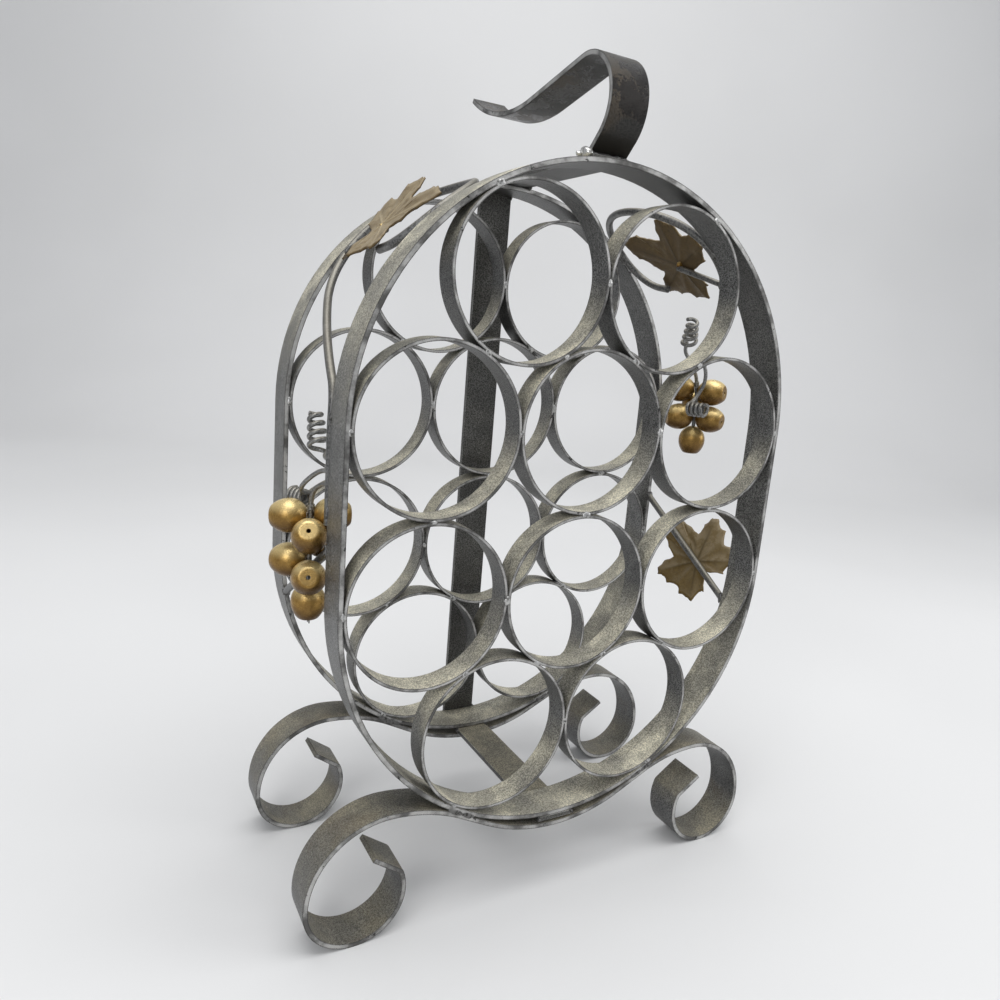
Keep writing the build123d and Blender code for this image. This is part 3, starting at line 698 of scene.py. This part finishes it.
def bar_and_foot_welds():
    """Welds of the feet, the bars, the spine and the handle."""
    bm = bmesh.new()
    low_z = CENTRE_Z - HALF - HOOP_OUT
    high_z = CENTRE_Z + HALF + HOOP_OUT
    for front_y in FRAMES.values():
        for y, way in ((front_y, -1), (front_y + STRIP_WIDTH, 1)):
            for side in (-1, 1):
                spot = Vector((math.sin(FOOT_TOUCH) * side, 0, -math.cos(FOOT_TOUCH))) * HOOP_OUT
                spot += Vector((0, y - way * FOOT_WELD_SINK, CENTRE_Z - HALF))
                along = Vector((math.cos(FOOT_TOUCH), 0, side * math.sin(FOOT_TOUCH)))
                for shift in (-FOOT_WELD_SHIFT, FOOT_WELD_SHIFT):
                    lump(bm, spot + along * shift, along, (0, way, 0), FOOT_WELD)
    seams = (
        FRONT_Y + BAR_WELD_OUTER, FRONT_Y + STRIP_WIDTH - BAR_WELD_INNER,
        REAR_Y + BAR_WELD_INNER, BACK_Y - BAR_WELD_OUTER,
    )
    for y in seams:
        for side in (-1, 1):
            x = side * BAR_SEAM
            lump(bm, (x, y, low_z - BAR_WELD_DROP), (0, 1, 0), (side, 0, 0.6), BAR_WELD)
            top_y = max(y, BAR_FRONT_Y + BAR_WELD_OUTER)
            lump(bm, (x, top_y, high_z), (0, 1, 0), (side, 0, 0.2), BAR_WELD)
    for z in (low_z + SPINE_WELD_IN, high_z - SPINE_WELD_IN):
        for side in (-1, 1):
            at = (side * BAR_SEAM, BACK_Y + SPINE_WELD_BACK, z)
            lump(bm, at, (0, 0, 1), (side, 0.4, 0), SPINE_WELD)
    z = BAR_TOP + HANDLE_WELD_RISE
    front_y = HANDLE_FOOT_Y - HANDLE_FRONT_SEAM
    back_y = HANDLE_FOOT_Y + HANDLE_BACK_SEAM
    for k in range(HANDLE_WELDS):
        x = HANDLE_WELD_STEP * (k - (HANDLE_WELDS - 1) / 2)
        lump(bm, (x, front_y, z), (1, 0, 0), (0, -0.5, 1), HANDLE_FRONT_WELD)
        lump(bm, (x, back_y, z), (1, 0, 0), (0, 0.7, 1), HANDLE_BACK_WELD)
    add_piece("bar_and_foot_welds", bm, DULL_WELD)


def handle_foot_weld():
    """The bright blob beside the foot of the handle."""
    bm = bmesh.new()
    lump(bm, BLOB_AT, (0, 1, 0.2), (-1, 0, 0.5), HANDLE_BLOB, SMOOTH)
    lump(bm, DROP_AT, (1, 0.4, 0), (0, 0, 1), HANDLE_DROP, SMOOTH)
    add_piece("handle_foot_weld", bm, BRIGHT_WELD)


def vine_welds():
    """Welds of the stems to the hoops, of the stalks, and at the ends of the slanting rods."""
    bm = bmesh.new()
    seam = RUN_V + VINE_SEAM
    rod_end = INNER_Y - ROD_WELD_IN
    stalk_end = stem_aside(STALK_FOOT) - STALK_WELD_ASIDE
    for turned, run_end in ((False, LEFT_RUN_END), (True, RIGHT_RUN_END)):
        spots = [
            (CROOK_AT, seam, 0.0), (CROOK_AT, -seam, 0.0),
            (LOW_RUN_AT, -seam, 0.0), (run_end, -seam, 0.0),
            (LOW_ROD_TOP - ROD_WELD_UP, -rod_end, 0.0), (LOW_ROD_FOOT + ROD_WELD_UP, rod_end, 0.0),
            (STALK_FOOT + ROD_WELD_UP, stalk_end, STALK_WELD_OUT),
        ]
        for along, aside, out in spots:
            at, climb, outward = on_oval(along, aside, out)
            for face in (outward, -outward):
                ways = (at + face * VINE_WELD_RISE, climb, face)
                if turned:
                    ways = [half_turn(v) for v in ways]
                lump(bm, *ways, VINE_WELD)
    add_piece("vine_welds", bm, DULL_WELD)


def leaf_seat_welds():
    """Gilded lumps that hold the upper leaves on their stalks."""
    bm = bmesh.new()
    up, aside = LEAF_UP - LEAF_WELD_DROP, LEAF_ASIDE + LEAF_WELD_ASIDE
    seat, climb, outward = on_oval(up, aside, STALK_OUT)
    for turned in (False, True):
        for slip in LEAF_WELD_SLIPS:
            ways = (seat + outward * LEAF_WELD_RISE + climb * slip, climb, -outward)
            if turned:
                ways = [half_turn(v) for v in ways]
            lump(bm, *ways, LEAF_WELD)
    add_piece("leaf_seat_welds", bm, GOLD)


# Fine ties of the bunches; a bunch by its wire's distance from the hoop and top along the oval
BUNCH_OUT = 0.0041
LEFT_BUNCH = (0.023, -0.048)
RIGHT_BUNCH = (0.038, 0.028)
LEFT_BUNCH_END = -0.0955
GRAPE_LONG = 0.021
TIE_R = 0.0004
TIE_SIDES = 6
TIE_REACH = 0.00185         # middle of the tie from the middle of the bunch wire
TIE_STEPS = 46
TIE_STEPS_A_TURN = 10
TIE_START = 0.0005          # under the top of the bunch wire
TIE_DROP = 0.00008          # down the wire at each step
TIE_LOOSE = 3               # last steps, which lift off the wire
TIE_LIFT = 0.0008
TIE_ROOT = 0.003            # length of a tie's end inside the lowest grape
TIE_TIP = 0.0028
TIE_SPLAY = (0.3, 0.55)     # out and aside, for each step down
BACKWARD = Vector((0, 1, 0))


def fine_wire(bm, points):
    """A thin closed tube through points."""
    rows = []
    across = None
    for i, p in enumerate(points):
        way = (points[min(i + 1, len(points) - 1)] - points[max(i - 1, 0)]).normalized()
        across = way.orthogonal() if across is None else across - way * across.dot(way)
        across.normalize()
        over = way.cross(across)
        row = []
        for k in range(TIE_SIDES):
            a = 2 * math.pi * k / TIE_SIDES
            row.append(bm.verts.new(p + (across * math.cos(a) + over * math.sin(a)) * TIE_R))
        rows.append(row)
    for a, b in zip(rows, rows[1:]):
        for k in range(TIE_SIDES):
            j = (k + 1) % TIE_SIDES
            bm.faces.new((a[k], a[j], b[j], b[k]))
    bm.faces.new(rows[0][::-1])
    bm.faces.new(rows[-1])


def binding(bm, bunch, turned):
    """A tie wound round the wire of a bunch, just under its top."""
    inset, top = bunch
    points = []
    for k in range(TIE_STEPS):
        a = 2 * math.pi * k / TIE_STEPS_A_TURN
        at, _, outward = on_oval(top - TIE_START - TIE_DROP * k, inset - INNER_Y, BUNCH_OUT)
        reach = TIE_REACH + TIE_LIFT * max(0, k - TIE_STEPS + TIE_LOOSE + 1)
        at += (outward * math.cos(a) + BACKWARD * math.sin(a)) * reach
        points.append(half_turn(at) if turned else at)
    fine_wire(bm, points)


def tie_ends(bm):
    """Two ends of a tie under the lowest left grape."""
    inset, _ = LEFT_BUNCH
    out, aside = TIE_SPLAY
    at, climb, outward = on_oval(LEFT_BUNCH_END - GRAPE_LONG, inset - INNER_Y, BUNCH_OUT)
    for way in (-1, 1):
        foot = at + BACKWARD * (TIE_R * way)
        splay = outward * out + BACKWARD * (aside * way) - climb
        fine_wire(bm, [foot + climb * TIE_ROOT, foot, at + splay * TIE_TIP])


def bunch_ties():
    bm = bmesh.new()
    binding(bm, LEFT_BUNCH, False)
    binding(bm, RIGHT_BUNCH, True)
    tie_ends(bm)
    bmesh.ops.recalc_face_normals(bm, faces=bm.faces)
    add_piece("bunch_ties", bm, WIRE)


upper_leaves()
lower_leaf()
for name, y in FRAMES.items():
    ring_welds(name, y)
bar_and_foot_welds()
handle_foot_weld()
vine_welds()
leaf_seat_welds()
bunch_ties()

# Stage, light and camera
FLOOR_FRONT = -2.2
FLOOR_BACK = 1.5
CURVE_R = 0.8
WALL_TOP = 3.2
STAGE_HALF = 3.5
STAGE_TURN = math.radians(-29.0)
AZIMUTH = math.radians(29.36)
PITCH_DOWN = math.radians(12.12)
ROLL = math.radians(4.64)   # the lean of the rack in the photograph
CAMERA_PLACE = Vector((-0.2783, -0.4615, 0.1068 + CENTRE_Z))


def backdrop():
    """A pale floor that curves up into a wall."""
    profile = [(FLOOR_FRONT, 0.0), (FLOOR_BACK, 0.0)]
    for k in range(1, 11):
        a = math.radians(9 * k)
        profile.append((FLOOR_BACK + CURVE_R * math.sin(a), CURVE_R - CURVE_R * math.cos(a)))
    profile.append((FLOOR_BACK + CURVE_R, WALL_TOP))
    bm = bmesh.new()
    rows = [[bm.verts.new((x, y, z)) for x in (-STAGE_HALF, STAGE_HALF)] for y, z in profile]
    for a, b in zip(rows, rows[1:]):
        bm.faces.new((a[0], a[1], b[1], b[0]))
    mesh = bpy.data.meshes.new("backdrop")
    bm.to_mesh(mesh)
    bm.free()
    for face in mesh.polygons:
        face.use_smooth = True
    obj = bpy.data.objects.new("backdrop", mesh)
    obj.rotation_euler.z = STAGE_TURN
    bpy.context.scene.collection.objects.link(obj)
    s = Shader("pale_floor")
    cloud = s.fit(s.noise(1.4, 2.0, 0.5), 0.3, 0.7)
    color = s.mix(cloud, (0.74, 0.74, 0.735), (0.78, 0.78, 0.775))
    s.link(color, s.bsdf.inputs["Base Color"])
    s.bsdf.inputs["Roughness"].default_value = 0.85
    mesh.materials.append(s.mat)


def lamp(name, place, aim, size, power):
    data = bpy.data.lights.new(name, "AREA")
    data.shape = "RECTANGLE"
    data.size, data.size_y = size
    data.energy = power
    obj = bpy.data.objects.new(name, data)
    obj.location = place
    obj.rotation_euler = (Vector(aim) - Vector(place)).to_track_quat("-Z", "Y").to_euler()
    bpy.context.scene.collection.objects.link(obj)


def daylight():
    world = bpy.data.worlds.new("studio")
    world.use_nodes = True
    sky = world.node_tree.nodes["Background"]
    sky.inputs["Color"].default_value = (0.93, 0.95, 1.0, 1.0)
    sky.inputs["Strength"].default_value = 0.46
    bpy.context.scene.world = world


def photo_camera():
    """The camera that was fitted to the rings and hoops in the photograph."""
    forward = Vector((math.sin(AZIMUTH), math.cos(AZIMUTH), 0.0)) * math.cos(PITCH_DOWN)
    forward.z = -math.sin(PITCH_DOWN)
    level = Vector((math.cos(AZIMUTH), -math.sin(AZIMUTH), 0.0))
    upright = level.cross(forward)
    right = math.cos(ROLL) * level + math.sin(ROLL) * upright
    above = math.cos(ROLL) * upright - math.sin(ROLL) * level
    data = bpy.data.cameras.new("camera")
    data.sensor_width = 36.0
    data.lens = 28.70
    data.clip_start = 0.01
    camera = bpy.data.objects.new("camera", data)
    turn = Matrix((right, above, -forward)).transposed().to_4x4()
    camera.matrix_world = Matrix.Translation(CAMERA_PLACE) @ turn
    bpy.context.scene.collection.objects.link(camera)
    bpy.context.scene.camera = camera


backdrop()
lamp("overhead", (-0.1, -0.25, 2.0), (0, 0, 0.3), (1.8, 1.4), 21.0)
lamp("front_left", (-1.5, -1.3, 1.2), (0, 0, 0.3), (1.1, 1.3), 14.0)
lamp("front_right", (1.5, -0.9, 1.0), (0, 0, 0.28), (0.9, 1.2), 8.0)
lamp("wall", (0.45, 0.95, 2.3), (1.0, 1.95, 0.7), (1.6, 0.9), 9.0)
daylight()
photo_camera()
bpy.context.scene.view_settings.view_transform = "Standard"

bpy.context.view_layer.update()
